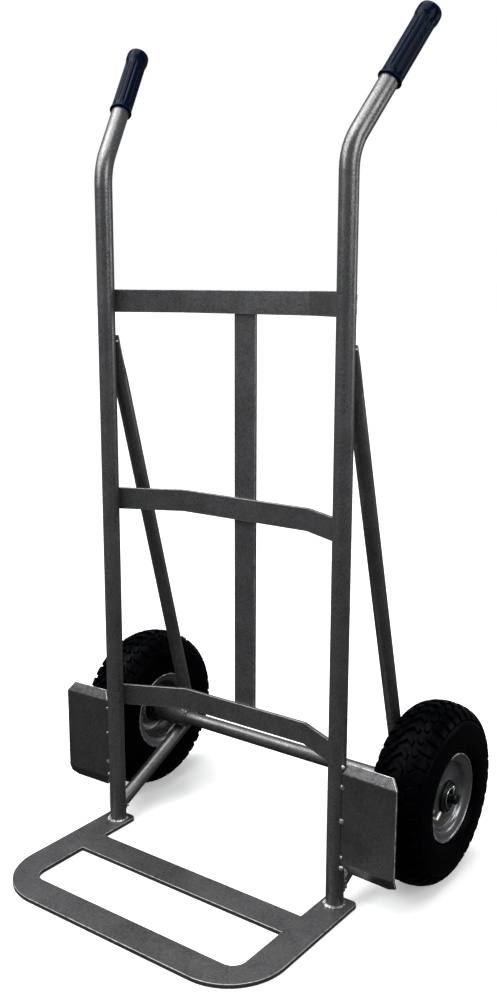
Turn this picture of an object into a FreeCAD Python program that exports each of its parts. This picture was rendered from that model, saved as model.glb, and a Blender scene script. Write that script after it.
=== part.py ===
import FreeCAD, Part
import math
import os

# Two-wheeled hand truck, millimetres.
# X runs along the axle, Y points backwards, Z points up.
# The truck stands on its toe plate and its two tyres at Z = 0.

V = FreeCAD.Vector

# ---- frame of steel tube and flat bar ----
STILE_HALF = 201.0          # stile axis to the middle plane
STILE_OD = 25.0
STILE_WALL = 2.0
FLAT_T = 5.0                # thickness of crossbars and strap
BAR_H = 32.0                # height of a crossbar
BAR_TOPS = {"top_crossbar": 823.0, "middle_crossbar": 534.0, "lower_crossbar": 224.5}
BAR_SET_BACK = 57.0         # front of the middle third behind the stile axes
BAR_BEND_X = 109.0          # where a crossbar bends
BAR_BITE = 11.0             # front face of the coped end passes the stile axis at this distance
BAR_SHORT = 3.0             # crossbar stops this far before the back of the stile
BAR_BEND_R = 5.0            # inside radius of the bend
STRAP_W = 36.0
STRAP_INSET = 3.0           # strap ends short of the outer crossbar edges

# ---- handles ----
BEND_Z = 989.4              # height where the stile and handle axes cross
LEAN = math.radians(35.2)   # handle leans backwards
SPLAY = math.radians(10.45) # handle spreads outwards
BEND_R = 76.0
GRIP_FROM = 100.5           # from the bend crossing to the mouth of the grip
TUBE_END = 203.0            # from the bend crossing to the end of the tube
GRIP_TO = 212.5
GRIP_R = 14.7
GRIP_LIP_R = 15.9
GRIP_CAP_R = 15.9
FLUTES = 12
FLUTE_R = 1.5

# ---- toe plate ----
TOE_T = 6.0
TOE_HALF = 227.0
TOE_BAR = 45.5              # width of the flat bar
TOE_REACH = 240.5           # front edge ahead of the stile axes
TOE_TAIL = 19.5             # leg ends behind the stile axes
TOE_R_OUT = 85.0
TOE_R_IN = 20.0
TOE_R_TAIL = 8.0
TOE_CROSS_FRONT = 98.0      # front edge of the toe crossbar ahead of the stile axes

# ---- axle ----
AXLE_BACK = 148.0           # axle behind the stile axes
TYRE_R = 130.0
AXLE_Z = TYRE_R
PIPE_OD = 21.3              # axle tube and braces
PIPE_WALL = 2.3
ROD_R = 8.0
ROD_CHAMFER = 1.5
TUBE_BORE_R = 8.05
TUBE_END_X = 241.6
SLEEVE_R = 16.0             # thick sleeve on each end of the axle tube
SLEEVE_FROM = 180.0
INNER_WASHER_T = 2.5
END_PLAY = 0.4              # free gap each side of a hub
HUB_LEN = 50.0
OUTER_WASHER_T = 3.0
WASHER_R = 16.0
INNER_WASHER_R = 14.0
PIN_R = 1.5
PIN_HOLE_R = 1.6
PIN_GAP = 2.6               # pin axis beyond the outer washer
ROD_TAIL = 6.6              # rod end beyond the pin axis
PIN_EYE_R = 3.4
PIN_EYE_GAP = 2.4           # eye stands this far off the rod
PIN_LEG = 6.0               # pin reaches this far below the rod
PIN_BEND = (7.0, 3.0)       # the leg is bent backwards and down by this much

# ---- wheels ----
WHEEL_X = 265.0
RIM_T = 2.2
RIM_LIP_R = 64.0
RIM_FLANGE_R = 38.0         # the outer rim half is open inside this radius
DISC_R = 46.0               # disc that closes the outer rim half
HUB_R = 22.0
HUB_BORE_R = 15.0
BEARING_R = 17.5
BEARING_W = 11.0
BEARING_BORE_R = 8.06
VALVE_ANGLE = 211.5         # degrees round the axle from straight back
VALVE_U = 12.0              # hole in the rim from the wheel middle plane
VALVE_RING_R = 39.5         # the stem runs outwards at this distance from the axle
VALVE_STEM_R = 2.8
VALVE_FOOT_R = 3.6
VALVE_ROOT_R = 50.4         # where the stem leaves the inner tube
VALVE_OUT_U = 28.0          # here the stem turns towards the axle
VALVE_TIP_R = 29.0          # end of the stem, inside its cap
VALVE_CAP_R = 3.5
VALVE_CAP_FROM = 34.5
VALVE_CAP_TO = 26.5
VALVE_PLAY = 0.2

# ---- wheel guards ----
GUARD_T = 3.0
GUARD_FRONT = 6.4           # front face ahead of the stile axes, at the stile
GUARD_TOE = 3.2             # the outer edge stands this much further forward
GUARD_X = (212.9, 296.3)
GUARD_Z = (73.0, 200.5)
GUARD_LIP_Y = 6.9           # folded lips reach back this far
GUARD_LIP_Z = 14.0
GUARD_LIP_Z_LOW = 16.0
GUARD_MITRE = 10.4
GUARD_NOTCH = 9.0           # both lips start this much further from the stile
GUARD_CORNER = (12.0, 5.0)  # small cut on the lower outer corner

# ---- braces ----
BRACE_TOP_Z = 756.0
BRACE_TOP_GAP = 10.2        # upper brace axis behind the stile axis at its top
BRACE_TAPER = 60.0          # below the top by this much the tube is round
BRACE_FOOT_Z = 32.0         # lower brace axis where it meets the back of the stile
BRACE_TAIL = 30.0           # lower brace length past its contact with the axle sleeve

DEPTH = TOE_REACH + AXLE_BACK + TYRE_R
STILE_Y = TOE_REACH - DEPTH / 2.0
AXLE_Y = STILE_Y + AXLE_BACK
STILE_R = STILE_OD / 2.0
PIPE_R = PIPE_OD / 2.0
HUB_X0 = TUBE_END_X + INNER_WASHER_T + END_PLAY
HUB_X1 = HUB_X0 + HUB_LEN
PIN_X = HUB_X1 + END_PLAY + OUTER_WASHER_T + PIN_GAP
ROD_END_X = PIN_X + ROD_TAIL

os.makedirs("parts", exist_ok=True)


def save(shape, node):
    shape.exportStep("parts/" + node + ".step")


def save_pair(shape, stem):
    """Write the right-hand piece and its mirror image."""
    save(shape, stem + "_right")
    save(shape.mirror(V(0, 0, 0), V(1, 0, 0)), stem + "_left")


def disc_face(centre, normal, radius):
    return Part.Face(Part.Wire([Part.Circle(centre, normal, radius).toShape()]))


def bar(start, end, radius):
    axis = end - start
    return Part.makeCylinder(radius, axis.Length, start, axis)


def pipe(start, end, r_out, r_in):
    return bar(start, end, r_out).cut(bar(start, end, r_in))


def on_axle(x):
    return V(x, AXLE_Y, AXLE_Z)


def prism(points, direction):
    closed = points + [points[0]]
    return Part.Face(Part.makePolygon(closed)).extrude(direction)


def upright_edges(shape, places, tol=0.6):
    """Edges parallel to Z that stand on the given plan positions."""
    found = []
    for edge in shape.Edges:
        ends = [v.Point for v in edge.Vertexes]
        if len(ends) != 2:
            continue
        if abs(ends[0].x - ends[1].x) > 0.01 or abs(ends[0].y - ends[1].y) > 0.01:
            continue
        for px, py in places:
            if abs(ends[0].x - px) < tol and abs(ends[0].y - py) < tol:
                found.append(edge)
                break
    return found


def spin(profile, x_mid):
    """Turn a closed list of (u, r) curves about the axle; u is measured outwards."""
    face = Part.Face(Part.Wire(profile))
    solid = face.revolve(V(0, 0, 0), V(1, 0, 0), 360)
    if solid.Volume < 0:
        solid.reverse()
    solid.translate(V(x_mid, AXLE_Y, AXLE_Z))
    return solid


def curve(points):
    spline = Part.BSplineCurve()
    spline.interpolate([V(u, r, 0) for u, r in points])
    return spline.toShape()


def line(a, b):
    return Part.makeLine(V(a[0], a[1], 0), V(b[0], b[1], 0))


# ---- stiles with their handles ----
handle = V(math.sin(SPLAY), math.cos(SPLAY) * math.sin(LEAN), math.cos(SPLAY) * math.cos(LEAN))
bend_angle = math.acos(handle.z)
outward = V(handle.x, handle.y, 0).normalize()
tangent = BEND_R * math.tan(bend_angle / 2.0)
crossing = V(STILE_HALF, STILE_Y, BEND_Z)
up = V(0, 0, 1)

foot = V(STILE_HALF, STILE_Y, TOE_T)
bend_start = crossing - up * tangent
straight = pipe(foot, bend_start, STILE_R, STILE_R - STILE_WALL)
bend_face = disc_face(bend_start, up, STILE_R).cut(disc_face(bend_start, up, STILE_R - STILE_WALL))
bend_axis = up.cross(outward)
bend = bend_face.Faces[0].revolve(bend_start + outward * BEND_R, bend_axis, math.degrees(bend_angle))
top_part = pipe(crossing + handle * tangent, crossing + handle * TUBE_END, STILE_R, STILE_R - STILE_WALL)
stile = straight.fuse([bend, top_part]).removeSplitter()
save_pair(stile, "stile")
stile_core = Part.makeCylinder(STILE_R, BEND_Z, V(STILE_HALF, STILE_Y, 0), up)

# ---- fluted grips ----
grip_len = GRIP_TO - GRIP_FROM
bore_len = TUBE_END - GRIP_FROM
dome = 4.5
grip_points = [
    (STILE_R, 0.0), (GRIP_LIP_R - 0.8, 0.0), (GRIP_LIP_R, 0.8), (GRIP_LIP_R, 3.2),
    (GRIP_LIP_R - 0.8, 4.0), (GRIP_R, 5.5), (GRIP_R, grip_len - 19.0),
    (GRIP_CAP_R, grip_len - 15.0), (GRIP_CAP_R, grip_len - dome),
    (GRIP_CAP_R - 1.4, grip_len - 1.6), (GRIP_CAP_R - 4.5, grip_len), (0.0, grip_len),
    (0.0, bore_len), (STILE_R, bore_len),
]
grip_outline = [V(r, 0, z) for r, z in grip_points]
grip = Part.Face(Part.makePolygon(grip_outline + [grip_outline[0]]))
grip = grip.revolve(V(0, 0, 0), up, 360)
if grip.Volume < 0:
    grip.reverse()
flute_len = grip_len - 30.0
for k in range(FLUTES):
    turn = 2.0 * math.pi * k / FLUTES
    reach = GRIP_R + 0.6
    start = V(reach * math.cos(turn), reach * math.sin(turn), 8.0)
    flute = Part.makeCylinder(FLUTE_R, flute_len, start, up)
    grip = grip.cut(flute)
grip.Placement = FreeCAD.Placement(crossing + handle * GRIP_FROM, FreeCAD.Rotation(up, handle))
save_pair(grip, "grip")

# ---- crossbars: three straight thirds, the middle one set back ----
to_stile = V(STILE_HALF - BAR_BEND_X, -BAR_SET_BACK, 0)
bar_angle = math.atan2(BAR_SET_BACK, to_stile.x) - math.asin(BAR_BITE / to_stile.Length)
along = V(math.cos(bar_angle), -math.sin(bar_angle), 0)
square = V(math.sin(bar_angle), math.cos(bar_angle), 0)
contact = V(STILE_HALF, STILE_Y, 0) + square * BAR_BITE
bend_front = V(BAR_BEND_X, STILE_Y + BAR_SET_BACK, 0)
bend_back = bend_front + V(FLAT_T * math.tan(bar_angle / 2.0), FLAT_T, 0)
end_front = contact - along * BAR_SHORT
end_back = end_front + square * FLAT_T


def flip(p):
    return V(-p.x, p.y, p.z)


plan = [end_front, bend_front, flip(bend_front), flip(end_front)]
plan = plan + [flip(end_back), flip(bend_back), bend_back, end_back]
for node, top in BAR_TOPS.items():
    low = top - BAR_H
    outline = [V(p.x, p.y, low) for p in plan]
    crossbar = prism(outline, V(0, 0, BAR_H))
    inner = upright_edges(crossbar, [(bend_front.x, bend_front.y), (-bend_front.x, bend_front.y)])
    crossbar = crossbar.makeFillet(BAR_BEND_R, inner)
    outer = upright_edges(crossbar, [(bend_back.x, bend_back.y), (-bend_back.x, bend_back.y)])
    crossbar = crossbar.makeFillet(BAR_BEND_R + FLAT_T, outer)
    crossbar = crossbar.cut(stile_core)
    crossbar = crossbar.cut(stile_core.mirror(V(0, 0, 0), V(1, 0, 0)))
    save(crossbar, node)

# ---- upright strap behind the crossbars ----
strap_low = BAR_TOPS["lower_crossbar"] - BAR_H + STRAP_INSET
strap_high = BAR_TOPS["top_crossbar"] - STRAP_INSET
strap_y = STILE_Y + BAR_SET_BACK + FLAT_T
strap = Part.makeBox(STRAP_W, FLAT_T, strap_high - strap_low, V(-STRAP_W / 2.0, strap_y, strap_low))
save(strap, "centre_strap")

# ---- toe plate ----
toe_front = STILE_Y - TOE_REACH
toe_back = STILE_Y + TOE_TAIL
inside = TOE_HALF - TOE_BAR
plate = Part.makeBox(2 * TOE_HALF, toe_back - toe_front, TOE_T, V(-TOE_HALF, toe_front, 0))
plate = plate.makeFillet(TOE_R_OUT, upright_edges(plate, [(-TOE_HALF, toe_front), (TOE_HALF, toe_front)]))
hole_front = toe_front + TOE_BAR
hole = Part.makeBox(2 * inside, toe_back - hole_front + 10.0, 3 * TOE_T, V(-inside, hole_front, -TOE_T))
hole = hole.makeFillet(TOE_R_IN, upright_edges(hole, [(-inside, hole_front), (inside, hole_front)]))
toe_frame = plate.cut(hole)
tails = [(sx * x, toe_back) for sx in (-1, 1) for x in (inside, TOE_HALF)]
toe_frame = toe_frame.makeFillet(TOE_R_TAIL, upright_edges(toe_frame, tails))
save(toe_frame, "toe_frame")
cross_y = STILE_Y - TOE_CROSS_FRONT
toe_crossbar = Part.makeBox(2 * inside, TOE_BAR, TOE_T, V(-inside, cross_y, 0))
save(toe_crossbar, "toe_crossbar")

# ---- axle tube and rod ----
save(pipe(on_axle(-TUBE_END_X), on_axle(TUBE_END_X), PIPE_R, TUBE_BORE_R), "axle_tube")
save_pair(pipe(on_axle(SLEEVE_FROM), on_axle(TUBE_END_X), SLEEVE_R, PIPE_R), "axle_sleeve")
sleeve_core = bar(on_axle(SLEEVE_FROM), on_axle(TUBE_END_X), SLEEVE_R)
rod = bar(on_axle(-ROD_END_X), on_axle(ROD_END_X), ROD_R)
rod_rims = [edge for edge in rod.Edges if edge.BoundBox.XLength < PIN_R]
rod = rod.makeChamfer(ROD_CHAMFER, rod_rims)
for sx in (-1, 1):
    drill = Part.makeCylinder(PIN_HOLE_R, 4 * ROD_R, V(sx * PIN_X, AXLE_Y, AXLE_Z - 2 * ROD_R), up)
    rod = rod.cut(drill)
save(rod, "axle_rod")

# ---- washers and cotter pins ----
def washer(x0, thick, r_out):
    return pipe(on_axle(x0), on_axle(x0 + thick), r_out, TUBE_BORE_R)


save_pair(washer(TUBE_END_X, INNER_WASHER_T, INNER_WASHER_R), "inner_washer")
save_pair(washer(HUB_X1 + END_PLAY, OUTER_WASHER_T, WASHER_R), "outer_washer")

eye_centre = on_axle(PIN_X) + up * (ROD_R + PIN_EYE_R + PIN_EYE_GAP)
leg_low = on_axle(PIN_X) - up * (ROD_R + PIN_LEG)
leg = bar(leg_low, eye_centre - up * PIN_EYE_R, PIN_R)
eye = Part.makeTorus(PIN_EYE_R, PIN_R, eye_centre, V(1, 0, 0))
toe_bend = bar(leg_low, leg_low + V(0, PIN_BEND[0], -PIN_BEND[1]), PIN_R)
knuckle = Part.makeSphere(PIN_R, leg_low)
cotter_pin = leg.fuse([eye, toe_bend, knuckle])
save_pair(cotter_pin, "cotter_pin")

# ---- hubs and bearings ----
hub = pipe(on_axle(HUB_X0), on_axle(HUB_X1), HUB_R, HUB_BORE_R)
for node, x0 in (("bearing_inner", HUB_X0), ("bearing_outer", HUB_X1 - BEARING_W)):
    hub = hub.cut(bar(on_axle(x0), on_axle(x0 + BEARING_W), BEARING_R))
    save_pair(pipe(on_axle(x0), on_axle(x0 + BEARING_W), BEARING_R, BEARING_BORE_R), node)
save_pair(hub, "hub")

# ---- pressed rim halves ----
half_t = RIM_T / 2.0
barrel_line = [
    (half_t + 0.8, 40.2), (4.2, 42.6), (8.0, 44.3), (14.0, 46.0), (21.0, 47.8), (26.0, 48.8),
    (29.2, 51.4), (30.8, 55.6), (32.0, 59.6), (34.4, RIM_LIP_R - half_t),
]
inner_line = [
    (11.0, HUB_R), (10.2, 24.4), (6.4, 28.2), (2.8, 31.2), (half_t + 0.3, 34.2), (half_t + 0.05, 37.0),
]
outer_line = [(half_t + 0.05, RIM_FLANGE_R)]
disc_line = [(24.0, HUB_R), (23.2, 25.0), (22.4, 30.0), (22.0, 38.0), (22.2, 43.0), (23.2, DISC_R)]


def offset_points(points, distance):
    """Shift a smooth (u, r) curve sideways by the given distance."""
    spline = Part.BSplineCurve()
    spline.interpolate([V(u, r, 0) for u, r in points])
    first = spline.FirstParameter
    last = spline.LastParameter
    shifted = []
    steps = 36
    for k in range(steps + 1):
        t = first + (last - first) * k / steps
        p = spline.value(t)
        d = spline.tangent(t)[0]
        shifted.append((p.x + d.y * distance, p.y - d.x * distance))
    return shifted


def pressed(spine):
    """Sheet of even thickness along a (u, r) line, turned about the axle."""
    near = offset_points(spine, half_t)
    far = offset_points(spine, -half_t)
    profile = [curve(near), line(near[-1], far[-1]), curve(list(reversed(far))), line(far[0], near[0])]
    hub_core = bar(on_axle(HUB_X0), on_axle(HUB_X1), HUB_R)
    return spin(profile, WHEEL_X).cut(hub_core)


rim_inner = pressed(inner_line + barrel_line).mirror(V(WHEEL_X, 0, 0), V(1, 0, 0))
save_pair(rim_inner, "rim_inner")

# ---- bent valve stem: out through the rim and the disc, then towards the axle ----
valve_turn = math.radians(VALVE_ANGLE)
spoke = V(0, math.cos(valve_turn), math.sin(valve_turn))


def at_valve(u, r):
    return on_axle(WHEEL_X + u) + spoke * r


root = at_valve(VALVE_U, VALVE_ROOT_R)
first_turn = at_valve(VALVE_U, VALVE_RING_R)
second_turn = at_valve(VALVE_OUT_U, VALVE_RING_R)
tip = at_valve(VALVE_OUT_U, VALVE_TIP_R)
rim_hole = bar(first_turn, root, VALVE_FOOT_R + VALVE_PLAY)
disc_hole = bar(first_turn, second_turn, VALVE_STEM_R + VALVE_PLAY)
save_pair(pressed(outer_line + barrel_line).cut(rim_hole), "rim_outer")
save_pair(pressed(disc_line).cut(disc_hole), "wheel_disc")
elbow = Part.makeSphere(VALVE_FOOT_R, first_turn)
outer_elbow = Part.makeSphere(VALVE_STEM_R, second_turn)
stem = bar(first_turn, root, VALVE_FOOT_R).fuse([elbow, outer_elbow])
stem = stem.fuse([bar(first_turn, second_turn, VALVE_STEM_R), bar(second_turn, tip, VALVE_STEM_R)])
save_pair(stem, "valve_stem")
cap = bar(at_valve(VALVE_OUT_U, VALVE_CAP_FROM), at_valve(VALVE_OUT_U, VALVE_CAP_TO), VALVE_CAP_R)
save_pair(cap.cut(bar(second_turn, tip, VALVE_STEM_R)), "valve_cap")

# ---- pneumatic tyre and its inner tube ----
tyre_side = [
    (28.2, 52.0), (29.2, 58.5), (32.0, 63.8), (36.4, 66.4), (39.8, 69.4), (41.3, 75.0), (41.7, 86.0),
    (40.4, 104.0), (36.4, 115.6), (28.4, 123.4), (15.0, 128.6), (0.0, TYRE_R),
]
tyre_bore = [
    (18.5, 52.0), (21.0, 60.0), (26.5, 69.0), (33.0, 79.0), (35.4, 91.0),
    (33.6, 104.0), (28.4, 113.0), (20.0, 119.0), (10.0, 121.8), (0.0, 122.6),
]
tube_skin = [
    (0.0, 51.6), (9.0, 51.9), (17.0, 54.6), (22.0, 63.0), (29.0, 74.0), (34.0, 91.0),
    (32.4, 103.4), (27.6, 112.0), (19.4, 117.8), (9.8, 120.8), (0.0, 121.8),
]
tube_air = [
    (0.0, 53.6), (8.6, 53.9), (15.6, 56.4), (20.2, 64.2), (27.0, 75.0), (31.8, 91.0),
    (30.2, 102.6), (26.0, 110.4), (18.6, 115.8), (9.4, 118.8), (0.0, 119.8),
]


def both_sides(half):
    """Mirror a half curve that ends on the middle plane into one full curve."""
    return half + [(-u, r) for u, r in reversed(half[:-1])]


def full_loop(half):
    """Close a half curve that starts and ends on the middle plane."""
    loop = half + [(-u, r) for u, r in reversed(half[1:-1])]
    spline = Part.BSplineCurve()
    spline.interpolate(Points=[V(u, r, 0) for u, r in loop], PeriodicFlag=True)
    return [spline.toShape()]


skin = both_sides(tyre_side)
bore = both_sides(tyre_bore)
tyre_profile = [
    curve(skin), line(skin[-1], bore[-1]), curve(list(reversed(bore))), line(bore[0], skin[0]),
]
save_pair(spin(tyre_profile, WHEEL_X), "tyre")
inner_tube = spin(full_loop(tube_skin), WHEEL_X).cut(spin(full_loop(tube_air), WHEEL_X))
save_pair(inner_tube, "inner_tube")

# ---- wheel guards: plate with both long edges folded back, outer corners mitred ----
front = STILE_Y - GUARD_FRONT
z_low, z_high = GUARD_Z


def lip_corners(z_fold, height, sz):
    """Front edge, back edge and inner fold point of a lip folded back from the plate."""
    angle = math.atan2(GUARD_LIP_Y, height)
    step = GUARD_T * math.tan(angle / 2.0)
    edge = V(GUARD_X[0], front + GUARD_LIP_Y, z_fold + sz * height)
    back = edge + V(0, math.cos(angle) * GUARD_T, -sz * math.sin(angle) * GUARD_T)
    fold = V(GUARD_X[0], front + GUARD_T, z_fold - sz * step)
    return edge, back, fold


low_edge, low_back, low_fold = lip_corners(z_low, GUARD_LIP_Z_LOW, -1)
high_edge, high_back, high_fold = lip_corners(z_high, GUARD_LIP_Z, 1)
section = [
    low_edge, V(GUARD_X[0], front, z_low), V(GUARD_X[0], front, z_high), high_edge,
    high_back, high_fold, low_fold, low_back,
]
guard = prism(section, V(GUARD_X[1] - GUARD_X[0], -GUARD_TOE, 0))
margin = 4.0
ahead = front - GUARD_TOE - margin
x_in, x_out = GUARD_X
z_top = z_high + GUARD_LIP_Z
z_bottom = z_low - GUARD_LIP_Z_LOW
corner_x, corner_z = GUARD_CORNER
cuts = [
    [(x_out, z_high), (x_out - GUARD_MITRE, z_top), (x_out - GUARD_MITRE, z_top + margin),
     (x_out + margin, z_top + margin), (x_out + margin, z_high)],
    [(x_out, z_bottom + corner_z), (x_out - corner_x, z_bottom), (x_out - corner_x, z_bottom - margin),
     (x_out + margin, z_bottom - margin), (x_out + margin, z_bottom + corner_z)],
    [(x_in, z_high), (x_in + GUARD_NOTCH, z_top), (x_in + GUARD_NOTCH, z_top + margin),
     (x_in - margin, z_top + margin), (x_in - margin, z_high)],
    [(x_in, z_low), (x_in + GUARD_NOTCH, z_bottom), (x_in + GUARD_NOTCH, z_bottom - margin),
     (x_in - margin, z_bottom - margin), (x_in - margin, z_low)],
]
for outline in cuts:
    guard = guard.cut(prism([V(x, ahead, z) for x, z in outline], V(0, 8 * margin, 0)))
guard = guard.cut(stile_core)
save_pair(guard, "wheel_guard")

# ---- upper braces: round tube, top end crushed against the back of the stile ----
brace_top = V(STILE_HALF, STILE_Y + BRACE_TOP_GAP, BRACE_TOP_Z)
axle_point = V(STILE_HALF, AXLE_Y, AXLE_Z)
clear = SLEEVE_R + PIPE_R
reach = axle_point - brace_top
tilt = math.atan2(reach.y, -reach.z) + math.asin(clear / reach.Length)
down = V(0, math.sin(tilt), -math.cos(tilt))
behind = V(0, math.cos(tilt), math.sin(tilt))
side = V(1, 0, 0)


def oval(distance, half_w, half_t, shift):
    """Section of the crushed tube, shifted backwards from the tube axis."""
    centre = brace_top + down * distance + behind * shift
    if half_w > half_t:
        ring = Part.Ellipse(centre + side * half_w, centre + behind * half_t, centre)
    else:
        ring = Part.Circle(centre, down, half_w)
        ring.XAxis = side
    return Part.Wire([ring.toShape()])


sections = [
    oval(0.0, 8.2, 3.4, 5.9),
    oval(BRACE_TAPER * 0.23, 10.6, 4.0, 2.8),
    oval(BRACE_TAPER * 0.56, 11.8, 6.6, 0.5),
    oval(BRACE_TAPER, PIPE_R, PIPE_R, 0.0),
]
crushed = Part.makeLoft(sections, True, False)

# ---- lower braces: from the foot of the stile, under the axle sleeve, to the upper brace ----
foot_point = V(STILE_HALF, STILE_Y + STILE_R, BRACE_FOOT_Z)
to_axle = axle_point - foot_point
slope = math.atan2(to_axle.z, to_axle.y) - math.asin(clear / to_axle.Length)
rise = V(0, math.cos(slope), math.sin(slope))
low_start = foot_point - rise * (STILE_R / rise.y)
low_len = to_axle.dot(rise) + BRACE_TAIL
low_end = foot_point + rise * low_len
lower_core = bar(low_start, low_end, PIPE_R)

round_from = brace_top + down * BRACE_TAPER
brace_end = brace_top + down * (reach.dot(down) + BRACE_TAIL)
brace_tube = pipe(round_from, brace_end, PIPE_R, PIPE_R - PIPE_WALL)
upper_brace = brace_tube.fuse(crushed).cut(stile_core).cut(sleeve_core)
beneath = bar(low_start, low_end + rise * BRACE_TAIL, PIPE_R)
upper_brace = upper_brace.cut(beneath)
upper_brace = max(upper_brace.Solids, key=lambda s: s.Volume)
save_pair(upper_brace, "upper_brace")
lower_brace = lower_core.cut(bar(low_start, low_end, PIPE_R - PIPE_WALL))
lower_brace = lower_brace.cut(stile_core).cut(sleeve_core)
lower_brace = max(lower_brace.Solids, key=lambda s: s.Volume)
save_pair(lower_brace, "lower_brace")
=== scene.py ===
import math

import bmesh
import bpy
import numpy as np
from mathutils import Matrix, Vector


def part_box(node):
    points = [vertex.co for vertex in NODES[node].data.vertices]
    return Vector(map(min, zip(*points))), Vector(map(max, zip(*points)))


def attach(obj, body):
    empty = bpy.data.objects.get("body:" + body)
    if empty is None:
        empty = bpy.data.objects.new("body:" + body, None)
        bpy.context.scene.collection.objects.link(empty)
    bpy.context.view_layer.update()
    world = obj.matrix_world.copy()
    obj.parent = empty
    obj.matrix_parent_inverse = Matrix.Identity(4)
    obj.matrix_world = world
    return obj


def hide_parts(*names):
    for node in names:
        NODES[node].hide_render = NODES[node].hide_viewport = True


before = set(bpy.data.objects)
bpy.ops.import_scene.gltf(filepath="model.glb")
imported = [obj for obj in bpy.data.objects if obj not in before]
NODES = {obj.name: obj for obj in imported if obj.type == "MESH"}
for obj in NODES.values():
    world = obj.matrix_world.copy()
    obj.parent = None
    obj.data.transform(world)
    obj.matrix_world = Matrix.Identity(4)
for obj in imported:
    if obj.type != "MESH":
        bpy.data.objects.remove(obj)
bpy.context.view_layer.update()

MM = 0.001
UP = Vector((0, 0, 1))
ALONG_AXLE = Vector((1, 0, 0))
BACKWARDS = Vector((0, 1, 0))
SIDES = (("right", 1), ("left", -1))
scene = bpy.context.scene


# ---------------------------------------------------------------- places read from the frame
def half_height(node):
    lo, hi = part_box(node)
    return (hi.z - lo.z) / 2


def foot_of(node):
    """Middle and radius (x, y, r) of a stile's round foot, from its lowest ring of vertices."""
    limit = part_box(node)[0].z + 1 * MM
    ring = [v.co for v in NODES[node].data.vertices if v.co.z < limit]
    x0, x1 = min(p.x for p in ring), max(p.x for p in ring)
    y0, y1 = min(p.y for p in ring), max(p.y for p in ring)
    return (x0 + x1) / 2, (y0 + y1) / 2, (x1 - x0) / 2


TYRE_LO, TYRE_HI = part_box("tyre_right")
GUARD_LO, GUARD_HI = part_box("wheel_guard_right")
CROSS_LO, CROSS_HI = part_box("toe_crossbar")
WHEEL_X = (TYRE_LO.x + TYRE_HI.x) / 2
AXLE_Y = (TYRE_LO.y + TYRE_HI.y) / 2
AXLE_Z = (TYRE_LO.z + TYRE_HI.z) / 2
TYRE_R = half_height("tyre_right")
RIM_LIP_R = half_height("rim_outer_right")
HUB_R = half_height("hub_right")
ROD_R = half_height("axle_rod")
PIPE_R = half_height("axle_tube")
STILE_X, STILE_Y, STILE_R = foot_of("stile_right")
TOE_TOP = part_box("toe_frame")[1].z
SLEEVE_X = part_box("axle_sleeve_right")[0].x
BRACE_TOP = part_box("upper_brace_right")[1].z


# ---------------------------------------------------------------- shader helpers
def new_material(name):
    """An empty material, its tree, its shader and its object coordinates."""
    mat = bpy.data.materials.new(name)
    mat.use_nodes = True
    tree = mat.node_tree
    tree.nodes.clear()
    out = tree.nodes.new("ShaderNodeOutputMaterial")
    bsdf = tree.nodes.new("ShaderNodeBsdfPrincipled")
    tree.links.new(bsdf.outputs["BSDF"], out.inputs["Surface"])
    coord = tree.nodes.new("ShaderNodeTexCoord")
    return mat, tree, bsdf, coord.outputs["Object"]


def noise(tree, vector, scale, detail=3.0, rough=0.6, stretch=None):
    node = tree.nodes.new("ShaderNodeTexNoise")
    node.inputs["Scale"].default_value = scale
    node.inputs["Detail"].default_value = detail
    node.inputs["Roughness"].default_value = rough
    if stretch:
        mapping = tree.nodes.new("ShaderNodeMapping")
        mapping.inputs["Scale"].default_value = stretch
        tree.links.new(vector, mapping.inputs["Vector"])
        vector = mapping.outputs["Vector"]
    tree.links.new(vector, node.inputs["Vector"])
    return node.outputs["Fac"]


def remap(tree, value, low, high, to_low, to_high):
    node = tree.nodes.new("ShaderNodeMapRange")
    node.inputs["From Min"].default_value = low
    node.inputs["From Max"].default_value = high
    node.inputs["To Min"].default_value = to_low
    node.inputs["To Max"].default_value = to_high
    tree.links.new(value, node.inputs["Value"])
    return node.outputs["Result"]


def maths(tree, op, a, b):
    """A math node on a socket and either a socket or a number."""
    node = tree.nodes.new("ShaderNodeMath")
    node.operation = op
    tree.links.new(a, node.inputs[0])
    if isinstance(b, float):
        node.inputs[1].default_value = b
    else:
        tree.links.new(b, node.inputs[1])
    return node.outputs["Value"]


def mix_colour(tree, factor, a, b):
    """Mix two colours, each a tuple or a socket."""
    node = tree.nodes.new("ShaderNodeMix")
    node.data_type = "RGBA"
    amount = [s for s in node.inputs if s.name == "Factor" and s.type == "VALUE"][0]
    tree.links.new(factor, amount)
    for socket, colour in zip([s for s in node.inputs if s.type == "RGBA"], (a, b)):
        if isinstance(colour, tuple):
            socket.default_value = colour
        else:
            tree.links.new(colour, socket)
    return [s for s in node.outputs if s.type == "RGBA"][0]


def layer(tree, tone, over, value, low, high, most=1.0):
    """Lay a tone over another, from none where value is low to most where it is high."""
    return mix_colour(tree, remap(tree, value, low, high, 0.0, most), tone, over)


def bump(tree, bsdf, height, strength, distance):
    node = tree.nodes.new("ShaderNodeBump")
    node.inputs["Strength"].default_value = strength
    node.inputs["Distance"].default_value = distance
    tree.links.new(height, node.inputs["Height"])
    tree.links.new(node.outputs["Normal"], bsdf.inputs["Normal"])


def edge_mark(tree):
    """How strongly the mesh marks a spot as an edge for wear and a painted highlight; 0 on a mesh with no marks.
    """
    node = tree.nodes.new("ShaderNodeAttribute")
    node.attribute_name = "edge"
    return node.outputs["Fac"]


def rgb(red, green=None, blue=None):
    """A colour, or a grey if only one value is given."""
    return (red, red if green is None else green, red if blue is None else blue, 1.0)


def shade(colour, factor):
    return tuple(factor * c for c in colour[:3]) + (1.0,)


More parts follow.
